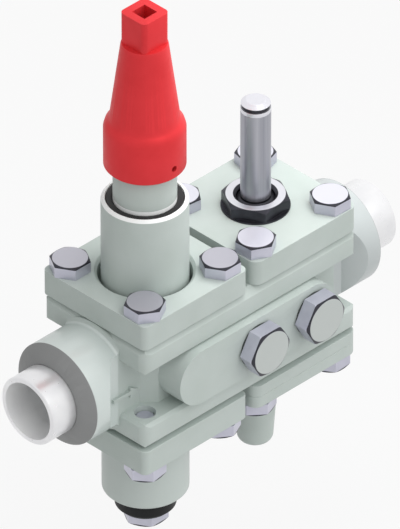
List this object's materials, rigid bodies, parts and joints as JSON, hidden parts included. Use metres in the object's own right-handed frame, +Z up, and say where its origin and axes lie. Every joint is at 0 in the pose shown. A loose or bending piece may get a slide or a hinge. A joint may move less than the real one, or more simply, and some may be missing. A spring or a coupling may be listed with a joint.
{
  "type": "refrigeration valve station",
  "caption": "Cast valve housing with butt-weld ends, carrying a red-capped regulating valve above a strainer cup and a solenoid valve tube above a check valve.",
  "frame": {"origin": "middle of the inlet weld end, on the flow axis", "axes": "+X along the flow towards the outlet weld end, +Z up along the regulating spindle towards the seal cap, +Y across, away from the pictured front"},
  "size_m": [0.221, 0.092, 0.2802],
  "materials": {
    "cast_body": "satin pale grey-green on cast steel",
    "machined_steel": "bright turned",
    "zinc_plate": "bluish zinc plate",
    "tube_steel": "drawn, satin",
    "cap_red": "red coated, satin",
    "bright_steel": "ground",
    "spring_steel": "drawn wire",
    "gland_brass": "turned",
    "gasket_fibre": "dark fibre",
    "seal_rubber": "matt black"
  },
  "bodies": {
    "valve_block": {"housing": "cast_body", "inlet_weld_neck": "machined_steel", "outlet_weld_neck": "machined_steel", "regulator_seat_ring": "bright_steel", "bonnet_gasket": "gasket_fibre", "regulator_bonnet": "cast_body", "regulator_cover": "cast_body", "regulator_cover_bolts": "zinc_plate", "spindle_packing": "seal_rubber", "packing_gland": "gland_brass", "cap_gasket": "gasket_fibre", "strainer_gasket": "gasket_fibre", "strainer_element": "bright_steel", "strainer_cover": "cast_body", "strainer_cover_bolts": "zinc_plate", "drain_gasket": "gasket_fibre", "drain_plug": "zinc_plate", "valve_seat_ring": "bright_steel", "main_spring": "spring_steel", "solenoid_gasket": "gasket_fibre", "solenoid_cover": "cast_body", "solenoid_cover_bolts": "zinc_plate", "tube_seal": "gasket_fibre", "armature_tube": "tube_steel", "fixed_core": "tube_steel", "armature_spring": "spring_steel", "armature_nut": "tube_steel", "check_spring": "spring_steel", "check_gasket": "gasket_fibre", "check_adapter_plate": "cast_body", "adapter_gasket": "gasket_fibre", "check_cover": "cast_body", "check_cover_bolts": "zinc_plate", "front_port_gaskets": "gasket_fibre", "front_port_plugs": "zinc_plate", "back_port_gaskets": "gasket_fibre", "back_port_plugs": "zinc_plate"},
    "seal_cap": {"seal_cap": "cap_red"},
    "regulator_cone": {"regulator_cone": "bright_steel"},
    "regulator_spindle": {"regulator_spindle": "bright_steel"},
    "armature": {"armature": "bright_steel", "pilot_seal": "seal_rubber"},
    "main_piston": {"main_piston": "bright_steel", "piston_ring": "gasket_fibre"},
    "check_disc": {"check_disc": "bright_steel"}
  },
  "joints": [
    {"name": "cap_lift_off", "type": "slide", "parent": "valve_block", "child": "seal_cap", "axis": [0, 0, 1], "range_m": [0, 0.06]},
    {"name": "cone_lift", "type": "slide", "parent": "valve_block", "child": "regulator_cone", "axis": [0, 0, 1], "range_m": [0, 0.006]},
    {"name": "spindle_turn", "type": "hinge", "parent": "regulator_cone", "child": "regulator_spindle", "pos_m": [0.075, 0, 0], "axis": [0, 0, 1], "range_deg": [0, 1080]},
    {"name": "armature_lift", "type": "slide", "parent": "valve_block", "child": "armature", "axis": [0, 0, 1], "range_m": [0, 0.003], "stiffness_N_per_m": 300, "springref_m": -0.004, "deforming": ["armature_spring"]},
    {"name": "piston_lift", "type": "slide", "parent": "valve_block", "child": "main_piston", "axis": [0, 0, 1], "range_m": [0, 0.006], "stiffness_N_per_m": 300, "springref_m": -0.006, "deforming": ["main_spring"]},
    {"name": "check_open", "type": "slide", "parent": "valve_block", "child": "check_disc", "axis": [0, 0, -1], "range_m": [0, 0.005], "stiffness_N_per_m": 400, "springref_m": -0.005, "deforming": ["check_spring"]}
  ],
  "couplings": [
    {"joint": "spindle_turn", "follows": "cone_lift", "rad_per_m": 3141.6}
  ]
}
